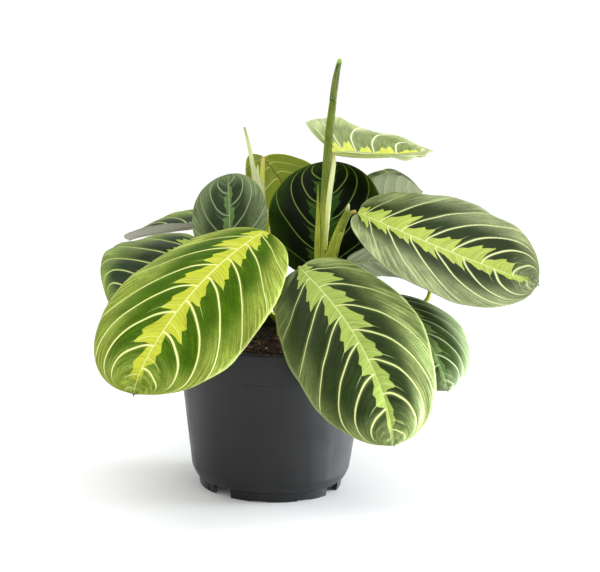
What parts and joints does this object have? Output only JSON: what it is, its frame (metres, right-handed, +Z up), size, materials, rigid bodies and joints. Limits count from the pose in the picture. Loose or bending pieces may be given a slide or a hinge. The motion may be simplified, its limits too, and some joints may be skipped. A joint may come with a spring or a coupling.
{
  "type": "potted prayer plant",
  "caption": "Lemon-lime prayer plant maranta in a black plastic nursery pot: broad striped oval leaves on slim stalks, a rolled new leaf, and peat soil.",
  "frame": {"origin": "floor level under the middle of the plant's spread; the pot's axis stands at x -31.5 mm, y +7 mm", "axes": "+Z up; -Y towards the front, the side with the two large drooping leaves; +X to the right seen from the front"},
  "size_m": [0.2706, 0.2935, 0.2707],
  "materials": {
    "black_pot_plastic": "satin moulded black plastic",
    "peat_soil": "matt, crumbly peat and bark",
    "stem_green": "smooth living stem, yellow-green",
    "rolled_leaf_green": "smooth rolled leaf, dark green",
    "leaf_green": "satin leaf, dark green with lime midrib and pale veins"
  },
  "bodies": {
    "root": {"pot": "black_pot_plastic", "soil": "peat_soil", "shoot_main": "stem_green", "shoot_left": "stem_green", "shoot_right": "stem_green", "rolled_leaf": "rolled_leaf_green", "leaf_front_left": "leaf_green", "leaf_front_middle": "leaf_green", "leaf_right": "leaf_green", "leaf_lower_right": "leaf_green", "leaf_top_right": "leaf_green", "leaf_back_middle": "leaf_green", "leaf_left_middle": "leaf_green", "leaf_left": "leaf_green", "leaf_far_left": "leaf_green", "leaf_back_left": "leaf_green", "leaf_back_right": "leaf_green", "leaf_under_right": "leaf_green", "leaf_rear_left": "leaf_green", "leaf_rear_right": "leaf_green"}
  },
  "joints": []
}
